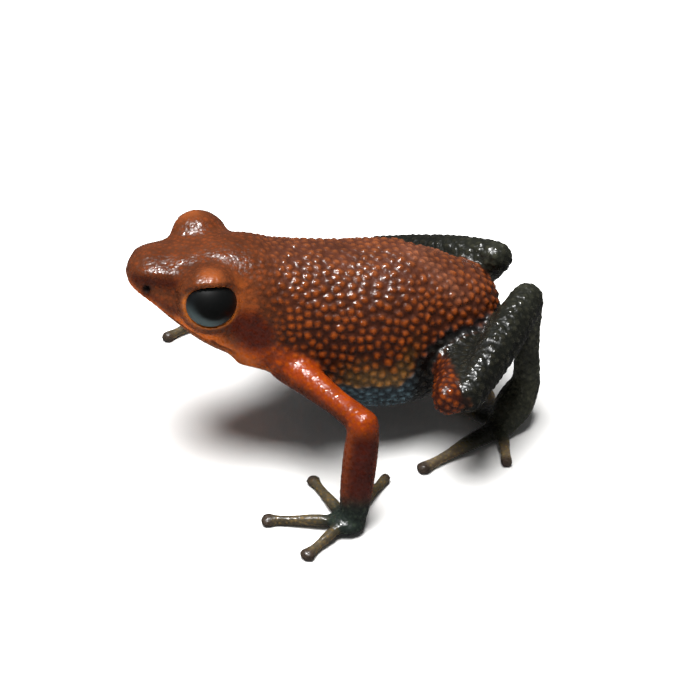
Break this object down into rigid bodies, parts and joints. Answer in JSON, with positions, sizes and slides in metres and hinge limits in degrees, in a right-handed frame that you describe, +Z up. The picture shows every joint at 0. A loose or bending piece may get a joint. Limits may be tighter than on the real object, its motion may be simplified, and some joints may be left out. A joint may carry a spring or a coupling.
{
  "type": "granular poison frog",
  "caption": "Life-size still model of a granular poison frog sitting up on its forelegs, with a grainy red-brown back, orange arms and dark hind legs.",
  "frame": {"origin": "on the floor, under the middle of the frog's bounding box", "axes": "the frog faces -Y, its left side is +X, and +Z is up"},
  "size_m": [0.0224, 0.0206, 0.0112],
  "materials": {
    "back_skin": "moist granular skin, red-brown with orange granules, slate blue on the belly",
    "arm_skin": "moist, nearly smooth skin, orange on the upper arm and brown on the forearm",
    "hand_skin": "moist grey-green skin with paler discs",
    "leg_skin": "moist granular skin, near-black green with orange at the knee",
    "eye": "wet, dark, clear-coated"
  },
  "bodies": {
    "root": {"eye_left": "eye", "eye_right": "eye", "finger_1_left": "hand_skin", "finger_1_right": "hand_skin", "finger_2_left": "hand_skin", "finger_2_right": "hand_skin", "finger_3_left": "hand_skin", "finger_3_right": "hand_skin", "finger_4_left": "hand_skin", "finger_4_right": "hand_skin", "foot_left": "leg_skin", "foot_right": "leg_skin", "forearm_left": "arm_skin", "forearm_right": "arm_skin", "hand_left": "hand_skin", "hand_right": "hand_skin", "head": "back_skin", "lower_jaw": "back_skin", "shank_left": "leg_skin", "shank_right": "leg_skin", "tarsus_left": "leg_skin", "tarsus_right": "leg_skin", "thigh_left": "leg_skin", "thigh_right": "leg_skin", "toe_1_left": "leg_skin", "toe_1_right": "leg_skin", "toe_2_left": "leg_skin", "toe_2_right": "leg_skin", "toe_3_left": "leg_skin", "toe_3_right": "leg_skin", "toe_4_left": "leg_skin", "toe_4_right": "leg_skin", "toe_5_left": "leg_skin", "toe_5_right": "leg_skin", "torso": "back_skin", "upper_arm_left": "arm_skin", "upper_arm_right": "arm_skin"}
  },
  "joints": []
}
